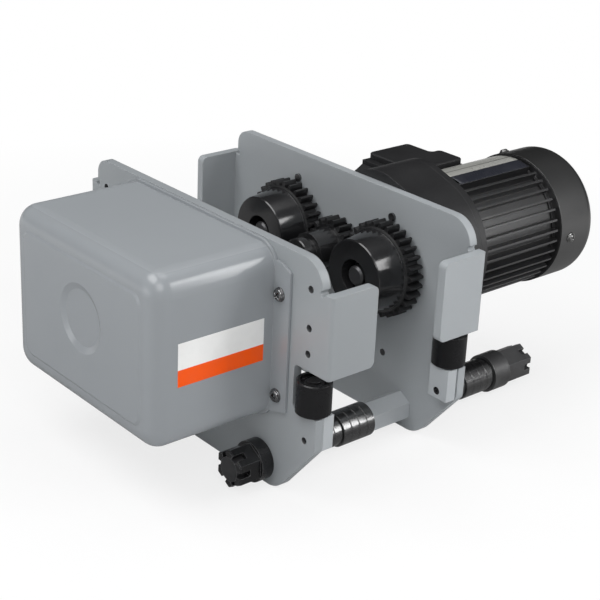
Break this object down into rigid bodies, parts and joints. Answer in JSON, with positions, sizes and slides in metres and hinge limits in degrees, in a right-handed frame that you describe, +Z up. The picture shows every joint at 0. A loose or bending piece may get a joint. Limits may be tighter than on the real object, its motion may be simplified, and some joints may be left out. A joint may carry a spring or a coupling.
{
  "type": "motorized beam trolley",
  "caption": "Electric trolley that runs on an I-beam's lower flange: two bent side plates with geared wheels, guide rollers, gear motor, control box and hoist shafts.",
  "frame": {"origin": "midway between the four wheels, at the height of the wheel axles and in the beam's middle plane", "axes": "+X along the beam, +Y across the beam towards the motor, +Z up"},
  "size_m": [0.37, 0.5495, 0.25],
  "materials": {
    "frame_paint": "satin grey paint",
    "box_paint": "satin grey paint",
    "black_steel": "black oxide",
    "black_shaft": "black oxide",
    "roller_black": "black oxide, satin",
    "wheel_black": "gloss black",
    "ground_steel": "ground",
    "spring_steel": "phosphated",
    "plated_screws": "zinc plated",
    "gear_steel": "hobbed, oiled",
    "case_black": "satin black paint",
    "core_steel": "laminated",
    "winding_copper": "varnished",
    "fan_plastic": "moulded",
    "switchgear_plastic": "moulded",
    "panel_zinc": "zinc plated",
    "transformer_iron": "varnished"
  },
  "bodies": {
    "frame": {"axle_clips": "spring_steel", "block_set_screws": "spring_steel", "cable_glands": "fan_plastic", "castle_nuts_far": "black_steel", "castle_nuts_near": "black_steel", "contactors": "switchgear_plastic", "control_box_cover": "box_paint", "control_panel": "panel_zinc", "cover_screws": "plated_screws", "cowl_screws": "plated_screws", "cross_shaft_front": "black_shaft", "cross_shaft_rear": "black_shaft", "fan_cowl": "case_black", "gear_case": "case_black", "gear_case_bearings": "ground_steel", "gear_case_cover": "case_black", "gear_case_screws": "plated_screws", "motor_bearings": "ground_steel", "motor_end_shield": "case_black", "motor_housing": "case_black", "roller_blocks": "frame_paint", "roller_clips": "spring_steel", "roller_pins": "ground_steel", "shaft_bosses": "frame_paint", "side_plate_far": "frame_paint", "side_plate_near": "frame_paint", "stator_core": "core_steel", "stator_windings": "winding_copper", "terminal_box": "case_black", "terminal_box_lid": "case_black", "terminal_strip": "switchgear_plastic", "transformer": "transformer_iron", "washers_front": "black_steel", "washers_rear": "black_steel", "wheel_axles": "black_shaft"},
    "wheel_set_front_far": {"wheel_front_far": "wheel_black", "wheel_bearing_front_far": "ground_steel"},
    "roller_set_front_far": {"guide_roller_front_far": "roller_black"},
    "wheel_set_rear_far": {"wheel_rear_far": "wheel_black", "wheel_bearing_rear_far": "ground_steel"},
    "roller_set_rear_far": {"guide_roller_rear_far": "roller_black"},
    "wheel_set_front_near": {"wheel_front_near": "wheel_black", "wheel_bearing_front_near": "ground_steel"},
    "roller_set_front_near": {"guide_roller_front_near": "roller_black"},
    "wheel_set_rear_near": {"wheel_rear_near": "wheel_black", "wheel_bearing_rear_near": "ground_steel"},
    "roller_set_rear_near": {"guide_roller_rear_near": "roller_black"},
    "output": {"output_shaft": "ground_steel", "output_gear": "gear_steel", "drive_pinion": "wheel_black", "pinion_cap": "wheel_black"},
    "middle": {"middle_shaft": "ground_steel", "middle_gear": "gear_steel"},
    "rotor_set": {"rotor": "ground_steel", "motor_pinion": "gear_steel", "motor_fan": "fan_plastic"}
  },
  "joints": [
    {"name": "wheel_front_far_spin", "type": "hinge", "parent": "frame", "child": "wheel_set_front_far", "pos_m": [0.072, 0.074, 0], "axis": [0, 1, 0], "continuous": true},
    {"name": "wheel_rear_far_spin", "type": "hinge", "parent": "frame", "child": "wheel_set_rear_far", "pos_m": [-0.072, 0.074, 0], "axis": [0, 1, 0], "continuous": true},
    {"name": "wheel_front_near_spin", "type": "hinge", "parent": "frame", "child": "wheel_set_front_near", "pos_m": [0.072, -0.074, 0], "axis": [0, 1, 0], "continuous": true},
    {"name": "wheel_rear_near_spin", "type": "hinge", "parent": "frame", "child": "wheel_set_rear_near", "pos_m": [-0.072, -0.074, 0], "axis": [0, 1, 0], "continuous": true},
    {"name": "output_spin", "type": "hinge", "parent": "frame", "child": "output", "pos_m": [0, 0.1, 0], "axis": [0, 1, 0], "continuous": true},
    {"name": "middle_spin", "type": "hinge", "parent": "frame", "child": "middle", "pos_m": [0.03565, 0.128, 0.03214], "axis": [0, 1, 0], "continuous": true},
    {"name": "rotor_spin", "type": "hinge", "parent": "frame", "child": "rotor_set", "pos_m": [0.06, 0.21, 0.007], "axis": [0, 1, 0], "continuous": true},
    {"name": "roller_front_near_spin", "type": "hinge", "parent": "frame", "child": "roller_set_front_near", "pos_m": [0.1575, -0.085, -0.055], "axis": [0, 0, 1], "continuous": true},
    {"name": "roller_rear_near_spin", "type": "hinge", "parent": "frame", "child": "roller_set_rear_near", "pos_m": [-0.1575, -0.085, -0.055], "axis": [0, 0, 1], "continuous": true},
    {"name": "roller_front_far_spin", "type": "hinge", "parent": "frame", "child": "roller_set_front_far", "pos_m": [0.1575, 0.085, -0.055], "axis": [0, 0, 1], "continuous": true},
    {"name": "roller_rear_far_spin", "type": "hinge", "parent": "frame", "child": "roller_set_rear_far", "pos_m": [-0.1575, 0.085, -0.055], "axis": [0, 0, 1], "continuous": true}
  ],
  "couplings": [
    {"joint": "wheel_rear_far_spin", "follows": "wheel_front_far_spin", "ratio": 1},
    {"joint": "output_spin", "follows": "wheel_front_far_spin", "ratio": -1.6667},
    {"joint": "middle_spin", "follows": "wheel_front_far_spin", "ratio": 5},
    {"joint": "rotor_spin", "follows": "wheel_front_far_spin", "ratio": -18.333}
  ]
}
